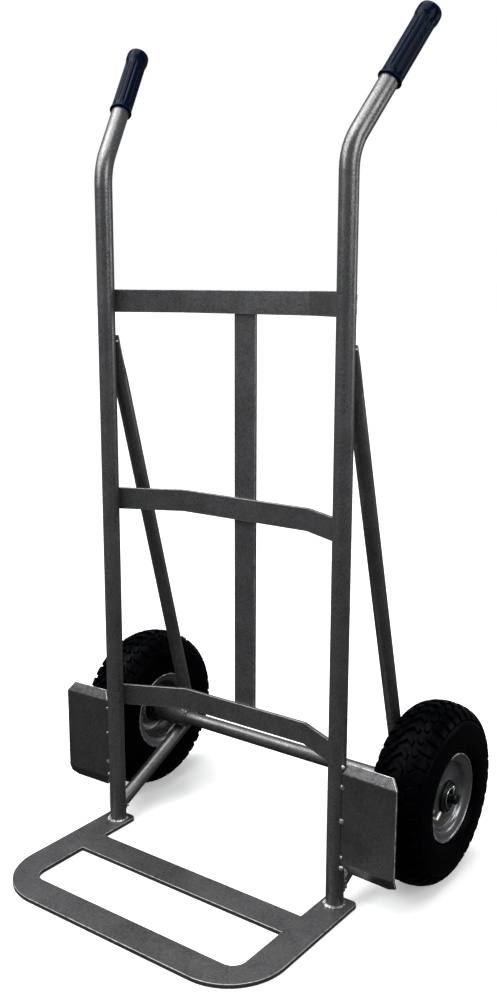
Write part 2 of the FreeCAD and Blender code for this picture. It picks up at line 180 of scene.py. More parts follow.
# ---------------------------------------------------------------- materials
def paint(name, base, light, metallic, rough, grain=1.0):
    """Sprayed paint: cloudy tone, fine orange peel and brighter edges, partly worn paint and partly a painted
    highlight.
    """
    mat, tree, bsdf, where = new_material(name)
    cloud = noise(tree, where, scale=26.0, detail=5.0, rough=0.68)
    speck = noise(tree, where, scale=430.0, rough=0.7)
    streak = noise(tree, where, scale=40.0, stretch=(1.0, 1.0, 0.16))
    tone = layer(tree, shade(base, 0.72), shade(base, 1.22), cloud, 0.32, 0.68)
    tone = layer(tree, tone, shade(base, 2.1), speck, 0.34, 0.66, 0.80 * grain)
    tone = layer(tree, tone, shade(base, 0.62), streak, 0.55, 0.8, 0.30)
    chip = noise(tree, where, scale=130.0, rough=0.65)
    # marked edges take the lighter colour: partly worn paint, partly a painted highlight where edges catch the
    # light
    wear_and_highlight = maths(tree, "MULTIPLY", edge_mark(tree), remap(tree, chip, 0.34, 0.62, 0.15, 1.0))
    tree.links.new(mix_colour(tree, wear_and_highlight, tone, light), bsdf.inputs["Base Color"])
    wear_and_highlight_metallic = 0.3
    tree.links.new(remap(tree, wear_and_highlight, 0.0, 1.0, metallic, wear_and_highlight_metallic), bsdf.inputs["Metallic"])
    smear = noise(tree, where, scale=22.0, detail=4.0)
    tree.links.new(remap(tree, smear, 0.3, 0.7, rough - 0.07, rough + 0.09), bsdf.inputs["Roughness"])
    dimple = noise(tree, where, scale=210.0, detail=2.0, rough=0.5)
    peel = maths(tree, "ADD", maths(tree, "MULTIPLY", speck, 0.5), dimple)
    bump(tree, bsdf, peel, 0.34 * grain, 0.5 * MM)
    return mat


def rubber(name, base, dust, rough, specular=0.5, grain_scale=900.0, grain_depth=0.3):
    """Rubber or plastic: dusty patches and a fine grain."""
    mat, tree, bsdf, where = new_material(name)
    patch = noise(tree, where, scale=14.0, detail=4.0)
    grain = noise(tree, where, scale=grain_scale)
    tone = layer(tree, base, dust, patch, 0.4, 0.75, 0.5)
    tone = layer(tree, tone, shade(base, 1.5), grain, 0.35, 0.7, 0.3)
    tree.links.new(tone, bsdf.inputs["Base Color"])
    tree.links.new(remap(tree, patch, 0.3, 0.7, rough - 0.08, rough + 0.08), bsdf.inputs["Roughness"])
    bsdf.inputs["Specular IOR Level"].default_value = specular
    bump(tree, bsdf, grain, grain_depth, 0.3 * MM)
    return mat


def metal(name, base, other, rough, grain=(1.0, 1.0, 1.0), light=None):
    """Bare or plated metal: stains, turning marks and, if asked, edges painted brighter as a highlight."""
    mat, tree, bsdf, where = new_material(name)
    turned = noise(tree, where, scale=260.0, stretch=grain)
    stain = noise(tree, where, scale=70.0)
    tone = layer(tree, base, other, stain, 0.35, 0.7)
    # marked edges take the light colour: a painted highlight
    if light:
        tone = mix_colour(tree, edge_mark(tree), tone, light)
    tree.links.new(tone, bsdf.inputs["Base Color"])
    bsdf.inputs["Metallic"].default_value = 1.0
    tree.links.new(remap(tree, turned, 0.3, 0.7, rough - 0.08, rough + 0.12), bsdf.inputs["Roughness"])
    bump(tree, bsdf, turned, 0.18, 0.2 * MM)
    return mat


def weld_metal(name, dark, bright):
    """Weld metal: lumpy, with bright and dark patches."""
    mat, tree, bsdf, where = new_material(name)
    lump = noise(tree, where, scale=420.0)
    patch = noise(tree, where, scale=110.0)
    tree.links.new(layer(tree, dark, bright, patch, 0.36, 0.62), bsdf.inputs["Base Color"])
    bsdf.inputs["Metallic"].default_value = 0.6
    tree.links.new(remap(tree, lump, 0.3, 0.7, 0.22, 0.42), bsdf.inputs["Roughness"])
    bump(tree, bsdf, lump, 0.5, 0.6 * MM)
    return mat


# each paint's second colour goes on marked edges: partly worn paint, partly a painted highlight
FRAME_PAINT = paint("frame_paint", rgb(0.106, 0.106, 0.107), rgb(0.40), 0.76, 0.31)
# a darker copy of the frame paint for the guards: painted shade, as they sit low and catch less light; their
# near-white edges and lip are a painted highlight
SHADED_GUARD_PAINT = paint("guard_paint_shaded", rgb(0.072, 0.072, 0.073), rgb(0.95), 0.76, 0.28)
RIM_PAINT = paint("rim_paint", rgb(0.20, 0.20, 0.203), rgb(0.95), 0.85, 0.22, 0.5)
HUB_PAINT = paint("hub_paint", rgb(0.010, 0.010, 0.011), rgb(0.08), 0.9, 0.36, 0.8)
TYRE_RUBBER = rubber("tyre_rubber", rgb(0.0003, 0.0004, 0.0007), rgb(0.0008, 0.0012, 0.0032), 0.33, 0.022)
TUBE_RUBBER = rubber("tube_rubber", rgb(0.02), rgb(0.03), 0.6)
GRIP_PVC = rubber(
    "grip_pvc", rgb(0.0006, 0.0042, 0.0145), rgb(0.0011, 0.0072, 0.025), 0.20, 0.05, 500.0, 0.15,
)
# zinc with its faces kept dark and its edges painted bright: a painted highlight
ZINC = metal("zinc_plate", rgb(0.13, 0.18, 0.155), rgb(0.04, 0.065, 0.055), 0.20, light=rgb(0.72, 0.95, 0.84))
ROD_STEEL = metal("rod_steel", rgb(0.035), rgb(0.015), 0.36, (0.08, 1.0, 1.0))
BEARING_STEEL = metal("bearing_steel", rgb(0.10), rgb(0.06), 0.38)
PIN_STEEL = metal("pin_steel", rgb(0.95), rgb(0.82), 0.30)
BRASS = metal("valve_metal", rgb(0.72, 0.70, 0.62), rgb(0.55, 0.52, 0.44), 0.24)
CAP_PLASTIC = rubber("valve_cap_plastic", rgb(0.42, 0.42, 0.43), rgb(0.35), 0.32, 0.5, 700.0, 0.1)
WELD = weld_metal("weld_bead", rgb(0.11, 0.11, 0.112), rgb(0.62, 0.62, 0.63))


# ---------------------------------------------------------------- mesh helpers
def finish_mesh(name, mesh, material, body, cad=(), sharp=None, weighted=False):
    """Make the object, smooth it up to the given angle and ride it on its body."""
    mesh.materials.clear()
    mesh.materials.append(material)
    mesh.polygons.foreach_set("use_smooth", [True] * len(mesh.polygons))
    if sharp is not None:
        mesh.set_sharp_from_angle(angle=math.radians(sharp))
    obj = bpy.data.objects.new(name, mesh)
    scene.collection.objects.link(obj)
    if weighted:
        mod = obj.modifiers.new("flat_normals", "WEIGHTED_NORMAL")
        mod.keep_sharp = True
        mod.weight = 80
    if cad:
        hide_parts(*cad)
    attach(obj, body)
    return obj


def mesh_piece(name, verts, faces, material, body, cad=(), sharp=None, mirror=False):
    """A piece from lists of points and faces, mirrored to the left side if asked."""
    mesh = bpy.data.meshes.new(name)
    if mirror:
        verts = [(-v[0], v[1], v[2]) for v in verts]
        faces = [tuple(reversed(f)) for f in faces]
    mesh.from_pydata([tuple(v) for v in verts], [], faces)
    mesh.validate()
    return finish_mesh(name, mesh, material, body, cad, sharp)


def edges_turning(bm, low, high):
    """The edges between two faces whose angle lies between low and high degrees."""
    inner = [e for e in bm.edges if len(e.link_faces) == 2]
    return [e for e in inner if low < math.degrees(e.calc_face_angle(0.0)) < high]


def mark_faces(faces, edge, value):
    for face in faces:
        for loop in face.loops:
            loop[edge] = value


def softened(
    node, name, material, width, body="frame",
    segments=2, folds=None, plain=None, cuts=(), lip=0.0,
):
    """The CAD node's own shape with its sharp edges rounded, and those edges marked for wear and a painted
    highlight.

    folds is (low, high, reach): long edges that turn by an angle in that range, in degrees, are
    rounded that far to each side. Edges for which plain(middle) is true stay sharp. The shape is first divided at
    the y values in cuts, and faces that slope upwards get a little painted highlight of their own, lip.
    """
    bm = bmesh.new()
    bm.from_mesh(NODES[node].data)
    bmesh.ops.remove_doubles(bm, verts=bm.verts, dist=0.002 * MM)
    bmesh.ops.dissolve_limit(bm, angle_limit=math.radians(0.4), verts=bm.verts, edges=bm.edges)
    if folds:
        low, high, reach = folds
        shortest_fold = 20 * MM
        fold = [e for e in edges_turning(bm, low, high) if e.calc_length() > shortest_fold]
        bmesh.ops.bevel(
            bm, geom=fold, offset=reach, segments=4, profile=0.5, affect="EDGES", clamp_overlap=False,
        )
    for y in cuts:
        everything = bm.verts[:] + bm.edges[:] + bm.faces[:]
        bmesh.ops.bisect_plane(bm, geom=everything, plane_co=(0, y, 0), plane_no=(0, 1, 0))
    edge = bm.loops.layers.float.new("edge")
    # faces that slope upwards are marked lighter: a painted highlight, as they face the lamps above
    if lip:
        bm.normal_update()
        mark_faces([f for f in bm.faces if 0.25 < f.normal.z < 0.98], edge, lip)
    sharpest = 42.0
    sharp = edges_turning(bm, sharpest, 360.0)
    if plain:
        sharp = [e for e in sharp if not plain((e.verts[0].co + e.verts[1].co) / 2)]
    made = bmesh.ops.bevel(
        bm, geom=sharp, offset=width, segments=segments, profile=0.6, affect="EDGES", clamp_overlap=False,
    )
    # the rounded edges are marked: worn paint and a painted highlight
    mark_faces(made["faces"], edge, 1.0)
    mesh = bpy.data.meshes.new(name)
    bm.to_mesh(mesh)
    bm.free()
    return finish_mesh(name, mesh, material, body, (node,), sharp=50.0, weighted=True)


def ring_faces(start, next_start, count):
    """Quads between two closed rings of count points each."""
    out = []
    for k in range(count):
        n = (k + 1) % count
        out.append((start + k, start + n, next_start + n, next_start + k))
    return out


def ring_faces_back(start, next_start, count):
    """The same quads, facing the other way."""
    out = []
    for k in range(count):
        n = (k + 1) % count
        out.append((start + k, next_start + k, next_start + n, start + n))
    return out


def spun(profile, steps):
    """A closed (u, r) outline turned about the axle; u is measured outwards from the wheel's middle."""
    verts, faces = [], []
    count = len(profile)
    for k in range(steps):
        turn = 2 * math.pi * k / steps
        for u, r in profile:
            verts.append((WHEEL_X + u, AXLE_Y + r * math.cos(turn), AXLE_Z + r * math.sin(turn)))
        faces += ring_faces(k * count, ((k + 1) % steps) * count, count)
    return verts, faces


def smooth_line(points, per_span):
    """Catmull-Rom through the given 2-D points."""
    out = []
    for i in range(len(points) - 1):
        before = points[max(i - 1, 0)]
        after = points[min(i + 2, len(points) - 1)]
        for k in range(per_span):
            t = k / per_span
            spot = []
            for a, b, c, d in zip(before, points[i], points[i + 1], after):
                square = (2 * a - 5 * b + 4 * c - d) * t * t
                cube = (3 * b - a - 3 * c + d) * t ** 3
                spot.append(0.5 * (2 * b + (c - a) * t + square + cube))
            out.append(tuple(spot))
    out.append(tuple(points[-1]))
    return out


def ease(a, b, x):
    """0 below a, 1 above b, and a smooth step between them."""
    t = min(max((x - a) / (b - a), 0.0), 1.0)
    return t * t * (3 - 2 * t)


def swept(path, radius, flat=1.0, up=UP, sides=12):
    """A closed tube along a line of points; radius is a function of the point's index."""
    verts, faces = [], []
    last = len(path) - 1
    for i, p in enumerate(path):
        ahead = (Vector(path[min(i + 1, last)]) - Vector(path[max(i - 1, 0)])).normalized()
        side = ahead.cross(up)
        if side.length < 0.05:
            side = ahead.cross(ALONG_AXLE)
        side.normalize()
        top = side.cross(ahead)
        r = radius(i)
        for k in range(sides):
            turn = 2 * math.pi * k / sides
            verts.append(Vector(p) + side * (r * math.cos(turn)) + top * (r * flat * math.sin(turn)))
        if i < last:
            faces += ring_faces(i * sides, (i + 1) * sides, sides)
    faces.append(tuple(reversed(range(sides))))
    faces.append(tuple(last * sides + k for k in range(sides)))
    return verts, faces


# ---------------------------------------------------------------- tyres
TREAD_LUGS = 38
TREAD_DEPTH = 4.2 * MM
PITCH = 2 * math.pi * TYRE_R / TREAD_LUGS
SKIN = 0.25 * MM          # the blocks stop this far inside the tyre's outer surface
GROOVE_FLOOR = 0.6 * MM   # the carcass lies this much deeper than the tread depth
# outer surface of one half of the tyre, from the crown to the bead: (u, r) in mm
TYRE_SIDE = [
    (0.0, 130.0), (15.0, 128.6), (28.4, 123.4), (36.4, 115.6), (40.4, 104.0), (41.7, 86.0),
    (41.3, 75.0), (39.8, 69.4), (36.4, 66.4), (32.0, 63.8), (29.2, 58.5), (28.2, 52.0),
]
# inner surface, from the bead back to the crown
TYRE_BORE = [
    (18.5, 52.0), (21.0, 60.0), (26.5, 69.0), (33.0, 79.0), (35.4, 91.0),
    (33.6, 104.0), (28.4, 113.0), (20.0, 119.0), (10.0, 121.8), (0.0, 122.6),
]
# raised rings on the sidewall: distance from the crown, height and half width, in mm
SIDEWALL_RINGS = ((52.5, 0.45, 0.9), (76.0, 0.5, 1.1), (79.2, 0.3, 0.8), (88.5, 0.5, 1.2))
# a tread block in mm: rows across the tyre, then its half length and middle round the tyre at each row
CHEVRON_ROWS = (-9.5, -5.0, 0.0, 5.0, 9.5)
CHEVRON = (CHEVRON_ROWS, (4.6,) * 5, tuple(0.85 * abs(w) for w in CHEVRON_ROWS))
DIAMOND = (
    (11.6, 15.0, 18.6, 22.0), (2.2, 6.4, 6.4, 2.2),
    tuple(PITCH / MM * 0.5 + 5.4 + lean for lean in (0.0, 1.8, 3.6, 5.4)),
)
SHOULDER = (
    (21.5, 25.0, 29.0, 33.0, 37.0, 41.0, 45.5), (3.0, 6.8, 7.2, 7.0, 7.0, 7.2, 7.0), (9.5,) * 7,
)
# the blocks of one lug, each with the side of the crown that it lies on
TREAD_BLOCKS = ((1, CHEVRON), (-1, DIAMOND), (-1, SHOULDER), (1, DIAMOND), (1, SHOULDER))


def half_outline():
    """Dense outer line of the tyre: distance from the crown, u, r and the outward normal."""
    mirrored = [(-TYRE_SIDE[1][0], TYRE_SIDE[1][1])] + TYRE_SIDE
    per_span = 24
    dense = [(u * MM, r * MM) for u, r in smooth_line(mirrored, per_span)[per_span:]]
    out, w = [], 0.0
    for i, (u, r) in enumerate(dense):
        if i:
            w += math.dist(dense[i - 1], dense[i])
        a, b = dense[max(i - 1, 0)], dense[min(i + 1, len(dense) - 1)]
        if i == 0:
            a = (-b[0], b[1])
        t = Vector((b[0] - a[0], b[1] - a[1])).normalized()
        out.append((w, u, r, -t.y, t.x))
    return out


OUTLINE = half_outline()


def on_tyre(w, depth):
    """(u, r) at distance w from the crown, the given depth under the outer surface."""
    side = -1 if w < 0 else 1
    w = abs(w)
    for a, b in zip(OUTLINE, OUTLINE[1:]):
        if a[0] <= w <= b[0] or b is OUTLINE[-1]:
            t = (w - a[0]) / (b[0] - a[0])
            u, r, nu, nr = (a[k] + (b[k] - a[k]) * t for k in (1, 2, 3, 4))
            return side * (u - nu * depth), r - nr * depth


def place(w, s, depth):
    """The point at distance w across the tyre and s round it, the given depth under its surface."""
    u, r = on_tyre(w, depth)
    turn = s / TYRE_R
    return (WHEEL_X + u, AXLE_Y + r * math.cos(turn), AXLE_Z + r * math.sin(turn))


def carcass_depth(w):
    """Deep under the tread, then a smooth sidewall with a few fine rings."""
    w = w / MM
    depth = TREAD_DEPTH * (1 - ease(41.0, 50.0, w)) + GROOVE_FLOOR
    for middle, height, half in SIDEWALL_RINGS:
        if abs(w - middle) < half:
            depth -= height * MM * (1 - abs(w - middle) / half) ** 0.7
    return max(depth, 0.05 * MM)


def station_step(w):
    """Wide steps under the tread and on the plain sidewall, fine ones at the rings."""
    if 55 * MM < w < 73 * MM:
        return 1.8 * MM
    return 1.6 * MM if w < 50 * MM else 0.6 * MM


def carcass():
    """The tyre without its blocks."""
    total = OUTLINE[-1][0]
    stations = []
    w = 0.0
    while w < total:
        stations.append(w)
        w += station_step(w)
    stations.append(total)
    outer = [on_tyre(w, carcass_depth(w)) for w in stations]
    bore = [(u * MM, r * MM) for u, r in smooth_line(TYRE_BORE, 3)]
    half = outer + bore
    steps_per_lug = 5
    return spun(half + [(-u, r) for u, r in reversed(half[1:-1])], TREAD_LUGS * steps_per_lug)


def turns_left(outline):
    """True if a closed 2-D outline runs anticlockwise."""
    pairs = zip(outline, outline[1:] + outline[:1])
    return sum(a[0] * b[1] - b[0] * a[1] for a, b in pairs) > 0


def outset(outline, amount):
    """Move a closed 2-D outline outwards by the given amount."""
    turn = 1 if turns_left(outline) else -1
    moved = []
    for i, here in enumerate(outline):
        before, q, after = Vector(outline[i - 1]), Vector(here), Vector(outline[(i + 1) % len(outline)])
        e1, e2 = (q - before).normalized(), (after - q).normalized()
        n1, n2 = Vector((e1.y, -e1.x)) * turn, Vector((e2.y, -e2.x)) * turn
        m = n1 + n2 if (n1 + n2).length > 1e-6 else n1
        m.normalize()
        reach = min(1.0 / max(m.dot(n1), 0.45), 1.9)
        moved.append(tuple(q + m * reach * amount))
    return moved


# how far a block's outline grows, and how deep it lies, from its top to its foot
BLOCK_RINGS = (
    (-0.65 * MM, SKIN), (-0.1 * MM, SKIN + 0.35 * MM), (0.15 * MM, SKIN + 1.1 * MM),
    (0.75 * MM, TREAD_DEPTH + 0.9 * MM),
)


def add_block(verts, faces, left, right):
    """A tread block between two rows of (w, s) points along its length."""
    outline = left + list(reversed(right))
    rows, count = len(left), len(outline)
    start = len(verts)
    for grow, depth in BLOCK_RINGS:
        verts += [place(w, s, depth) for w, s in outset(outline, grow)]
    made = [(start + i, start + i + 1, start + count - 2 - i, start + count - 1 - i) for i in range(rows - 1)]
    for ring in range(len(BLOCK_RINGS) - 1):
        a = start + ring * count
        made += ring_faces_back(a, a + count, count)
    if turns_left(outline):
        made = [tuple(reversed(f)) for f in made]
    faces += made


def tyre_mesh():
    verts, faces = carcass()
    for lug in range(TREAD_LUGS):
        start = lug * PITCH
        for side, (rows, halves, middles) in TREAD_BLOCKS:
            left = [(side * w * MM, start + (m - h) * MM) for w, h, m in zip(rows, halves, middles)]
            right = [(side * w * MM, start + (m + h) * MM) for w, h, m in zip(rows, halves, middles)]
            add_block(verts, faces, left, right)
    return verts, faces


tyre_verts, tyre_faces = tyre_mesh()
for side, sx in SIDES:
    mesh_piece(
        "tread_tyre_" + side, tyre_verts, tyre_faces, TYRE_RUBBER, "wheel_" + side,
        ("tyre_" + side,), sharp=32.0, mirror=sx < 0,
    )

# ---------------------------------------------------------------- pressed rims and discs
RIM_T = 2.2               # sheet thickness, mm
LIP_ROLL = 1.45           # radius of the rolled lip, mm
LIP_PUSH = 0.35           # the roll stands this far past the sheet's end, mm
# middle of the sheet as (u, r) in mm: the barrel of both rim halves, what leads to it, and the disc
BARREL_LINE = [
    (1.9, 40.2), (4.2, 42.6), (8.0, 44.3), (14.0, 46.0), (21.0, 47.8), (26.0, 48.8),
    (29.2, 51.4), (30.8, 55.6), (31.9, 59.4), (33.2, 61.4),
]
INNER_LINE = [(11.0, 22.0), (10.2, 24.4), (6.4, 28.2), (2.8, 31.2), (1.4, 34.2), (1.15, 37.0)]
OUTER_LINE = [(1.15, 38.0)]
DISC_LINE = [(24.0, 22.0), (23.2, 25.0), (22.4, 30.0), (22.0, 38.0), (22.2, 43.0), (23.0, 45.2), (24.6, 46.3)]
# node, piece, line, outwards or inwards, rolled lip
PRESSED = (
    ("rim_outer", "pressed_rim_outer", OUTER_LINE + BARREL_LINE, 1, True),
    ("rim_inner", "pressed_rim_inner", INNER_LINE + BARREL_LINE, -1, True),
    ("wheel_disc", "pressed_wheel_disc", DISC_LINE, 1, False),
)


def pressed(line, sign, rolled):
    """Sheet of even thickness along a (u, r) line, with a rolled lip at its end if asked."""
    spine = smooth_line(line, 5)
    half = RIM_T / 2
    near, far = [], []
    for i, (u, r) in enumerate(spine):
        a, b = spine[max(i - 1, 0)], spine[min(i + 1, len(spine) - 1)]
        t = Vector((b[0] - a[0], b[1] - a[1])).normalized()
        near.append((u + t.y * half, r - t.x * half))
        far.append((u - t.y * half, r + t.x * half))
    end_u, end_r = spine[-1]
    start = math.atan2(near[-1][1] - end_r, near[-1][0] - end_u)
    size, push = (LIP_ROLL, LIP_PUSH) if rolled else (half, 0.0)
    roll = []
    for k in range(1, 12):
        turn = start + math.pi * k / 12
        roll.append((end_u + size * math.cos(turn) + push * t.x, end_r + size * math.sin(turn) + push * t.y))
    outline = near + roll + list(reversed(far))
    verts, faces = spun([(sign * u * MM, min(r * MM, RIM_LIP_R)) for u, r in outline], 160)
    if sign > 0:
        faces = [tuple(reversed(f)) for f in faces]
    return verts, faces


def from_axle(point):
    return math.hypot(point[1] - AXLE_Y, point[2] - AXLE_Z)


def mark_lip_highlight(mesh):
    """Mark the outermost part of a turned piece for a painted highlight line, partly worn paint."""
    lip_highlight = mesh.attributes.new("edge", "FLOAT", "POINT")
    reach = max(from_axle(v.co) for v in mesh.vertices)
    for v in mesh.vertices:
        lip_highlight.data[v.index].value = ease(reach - 2.2 * MM, reach - 0.8 * MM, from_axle(v.co))


for node, name, line, sign, rolled in PRESSED:
    rim_verts, rim_faces = pressed(line, sign, rolled)
    for side, sx in SIDES:
        rim = mesh_piece(
            name + "_" + side, rim_verts, rim_faces, RIM_PAINT, "wheel_" + side,
            (node + "_" + side,), sharp=40.0, mirror=sx < 0,
        )
        # rolled lips get a painted highlight line, partly worn paint
        if rolled:
            mark_lip_highlight(rim.data)

# ---------------------------------------------------------------- hubs and small turned parts
# node, piece, material, rounding of the edges in mm, turns with the wheel, slot
TURNED = (
    ("hub", "hub_sleeve", HUB_PAINT, 0.6, True, "hub_black"),
    ("valve_stem", "valve_stem_metal", BRASS, 0.2, True, "valve_brass"),
    ("outer_washer", "outer_washer_zinc", ZINC, 0.6, False, "zinc_plate"),
    ("inner_washer", "inner_washer_zinc", ZINC, 0.4, False, "zinc_plate"),
    ("bearing_inner", "bearing_ring_inner", BEARING_STEEL, 0.35, True, "bearing_steel"),
    ("bearing_outer", "bearing_ring_outer", BEARING_STEEL, 0.35, True, "bearing_steel"),
)
for side, _ in SIDES:
    for node, name, material, width, turns, slot in TURNED:
        body = "wheel_" + side if turns else "frame"
        softened(node + "_" + side, name + "_" + side, material, width * MM, body)


def hub_weld(u):
    """Weld ring where a pressing meets the hub, at distance u from the wheel's middle."""
    thick, ring_r = 1.1 * MM, HUB_R + 0.2 * MM
    steps, sides = 144, 10
    verts, faces = [], []
    for k in range(steps):
        turn = 2 * math.pi * k / steps
        size = thick * (1 + 0.16 * math.sin(36 * turn) + 0.08 * math.sin(7 * turn))
        for j in range(sides):
            roll = 2 * math.pi * j / sides
            r = ring_r + size * math.sin(roll)
            across = WHEEL_X + u + size * math.cos(roll)
            verts.append((across, AXLE_Y + r * math.cos(turn), AXLE_Z + r * math.sin(turn)))
        faces += ring_faces_back(k * sides, ((k + 1) % steps) * sides, sides)
    return verts, faces


for kind, u in (("outer", 25.4 * MM), ("inner", -12.4 * MM)):
    weld_verts, weld_faces = hub_weld(u)
    for side, sx in SIDES:
        name = "hub_weld_%s_%s" % (kind, side)
        mesh_piece(name, weld_verts, weld_faces, HUB_PAINT, "wheel_" + side, mirror=sx < 0)

# ---------------------------------------------------------------- ribbed valve caps
CAP_RIBS = 12
CAP_REACH = 4.0 * MM
CAP_SLIM = 0.68           # the cap's radius, as a part of the CAD cap's
# the cap's outline from its open end to its tip: place along its length, part of its radius
CAP_RINGS = (
    (-1.0, 0.80), (-0.96, 0.97), (-0.8, 1.0), (0.24, 1.0),
    (0.40, 0.86), (0.84, 0.80), (0.96, 0.70), (1.0, 0.45),
)


def valve_cap(side):
    """A cap on the valve, pointing at the axle, with ribs along its wide end."""
    lo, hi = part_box("valve_cap_" + side)
    middle = (lo + hi) / 2
    inward = Vector((0, AXLE_Y - middle.y, AXLE_Z - middle.z)).normalized()
    third = inward.cross(ALONG_AXLE)
    size = CAP_SLIM * (hi.x - lo.x) / 2
    around = CAP_RIBS * 5
    verts, faces = [], []
    for i, (t, part) in enumerate(CAP_RINGS):
        rib_depth = 0.07 if -0.9 < t < 0.3 else 0.0
        for k in range(around):
            turn = 2 * math.pi * k / around
            rib = 1 - rib_depth * (0.5 + 0.5 * math.cos(CAP_RIBS * turn))
            out = ALONG_AXLE * math.cos(turn) + third * math.sin(turn)
            verts.append(middle + inward * (t * CAP_REACH) + out * (size * part * rib))
        if i:
            faces += ring_faces((i - 1) * around, i * around, around)
    faces.append(tuple(reversed(range(around))))
    faces.append(tuple((len(CAP_RINGS) - 1) * around + k for k in range(around)))
    mesh_piece(
        "valve_cap_ribbed_" + side, verts, faces, CAP_PLASTIC, "wheel_" + side,
        ("valve_cap_" + side,), sharp=40.0,
    )


for side, _ in SIDES:
    valve_cap(side)

# ---------------------------------------------------------------- axle ends: rod and split pins
softened("axle_rod", "axle_rod_turned", ROD_STEEL, 0.25 * MM)
PIN_WIRE = 0.95 * MM      # radius of each half of the pin's wire
PIN_EYE = 2.7 * MM


def split_pin(side):
    """Folded wire: an eye on top, two legs through the rod, and one leg bent backwards below."""
    lo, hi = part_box("cotter_pin_" + side)
    x = (lo.x + hi.x) / 2
    eye_z = hi.z - PIN_EYE - 0.8 * MM
    neck = AXLE_Z + ROD_R + 1.2 * MM
    foot = AXLE_Z - ROD_R - 2.0 * MM
    path = [
        (x, hi.y - 1.0 * MM, lo.z + 1.2 * MM), (x, AXLE_Y + 3.4 * MM, foot - 2.4 * MM),
        (x, AXLE_Y + 0.9 * MM, foot), (x, AXLE_Y + 0.72 * MM, AXLE_Z), (x, AXLE_Y + 0.75 * MM, neck),
    ]
    for k in range(17):
        turn = math.radians(-62 + 304 * k / 16)
        path.append((x, AXLE_Y + PIN_EYE * math.cos(turn), eye_z + PIN_EYE * math.sin(turn)))
    path += [
        (x, AXLE_Y - 0.75 * MM, neck), (x, AXLE_Y - 0.72 * MM, AXLE_Z),
        (x, AXLE_Y - 0.9 * MM, foot), (x, AXLE_Y - 0.95 * MM, lo.z + 1.4 * MM),
    ]
    verts, faces = swept(path, lambda i: PIN_WIRE, up=ALONG_AXLE)
    mesh_piece(
        "split_pin_" + side, verts, faces, PIN_STEEL, "frame",
        ("cotter_pin_" + side,), sharp=60.0,
    )


for side, _ in SIDES:
    split_pin(side)

# ---------------------------------------------------------------- flat bar, plate and folded sheet
CROSSBARS = ("top_crossbar", "middle_crossbar", "lower_crossbar")
GUARD_FOLD = (18.0, 35.0, 1.6 * MM)
# how much painted highlight the guard's upward-sloping lip gets
GUARD_LIP_HIGHLIGHT = 0.13


def at_toe_joint(p):
    """True on the line where the toe plate's crossbar meets its legs, which is ground flush."""
    within = CROSS_LO.y - 0.1 * MM < p.y < CROSS_HI.y + 0.1 * MM
    return within and abs(abs(p.x) - CROSS_HI.x) < 1 * MM


def at_guard_seam(p):
    """True on a guard's inner edge, which lies against the stile."""
    return abs(abs(p.x) - GUARD_LO.x) < 0.5 * MM


joint_ends = (CROSS_LO.y, CROSS_HI.y)
softened(
    "toe_frame", "toe_plate", FRAME_PAINT, 0.9 * MM, segments=3, plain=at_toe_joint, cuts=joint_ends,
)
softened("toe_crossbar", "toe_plate_bar", FRAME_PAINT, 0.8 * MM, segments=3, plain=at_toe_joint)
for node in CROSSBARS + ("centre_strap",):
    softened(node, node + "_flat", FRAME_PAINT, 0.7 * MM)
for side, _ in SIDES:
    softened(
        "wheel_guard_" + side, "guard_sheet_" + side, SHADED_GUARD_PAINT, 0.5 * MM,
        folds=GUARD_FOLD, plain=at_guard_seam, lip=GUARD_LIP_HIGHLIGHT,
    )

# ---------------------------------------------------------------- tubes keep their CAD shape
PAINTED_TUBES = ("stile", "upper_brace", "lower_brace", "axle_sleeve")


def repaint(node, material):
    slots = NODES[node].data.materials
    for k in range(len(slots)):
        slots[k] = material
    if not slots:
        slots.append(material)


repaint("axle_tube", FRAME_PAINT)
for side, _ in SIDES:
    repaint("inner_tube_" + side, TUBE_RUBBER)
    for tube in PAINTED_TUBES:
        repaint(tube + "_" + side, FRAME_PAINT)

# ---------------------------------------------------------------- grips
FLUTES = 12
FLUTE_DEPTH = 1.15        # mm
# (r, z) in mm from the rolled mouth to the middle of the rounded end
GRIP_OUTLINE = [
    (12.6, 0.6), (13.6, 0.0), (15.0, 0.1), (15.8, 0.9), (15.85, 2.2), (15.5, 3.3), (14.9, 4.4),
    (14.65, 6.0), (14.6, 9.0), (14.6, 11.0), (14.6, 14.0), (14.6, 20.0), (14.6, 40.0), (14.6, 60.0),
    (14.6, 76.0), (14.6, 84.0),
    (14.6, 88.0), (14.65, 91.0), (14.9, 93.4), (15.5, 95.4), (15.8, 97.4), (15.85, 101.0), (15.8, 105.5),
    (15.3, 108.2), (14.2, 110.3), (12.2, 111.5), (9.0, 111.9), (4.5, 112.0), (0.6, 112.0),
]
GRIP_LENGTH = GRIP_OUTLINE[-1][1] * MM


def grip_mesh():
    """Fluted sleeve along +Z from its mouth."""
    around = FLUTES * 12
    verts, faces = [], []
    for i, (r, z) in enumerate(GRIP_OUTLINE):
        deep = FLUTE_DEPTH * ease(8.0, 15.0, z) * (1 - ease(82.0, 90.0, z))
        for k in range(around):
            turn = 2 * math.pi * k / around
            groove = deep * max(0.0, (math.cos(FLUTES * turn) - 0.25) / 0.75) ** 0.8
            here = (r - groove) * MM
            verts.append(Vector((here * math.cos(turn), here * math.sin(turn), z * MM)))
        if i:
            faces += ring_faces((i - 1) * around, i * around, around)
    faces.append(tuple((len(GRIP_OUTLINE) - 1) * around + k for k in range(around)))
    return verts, faces


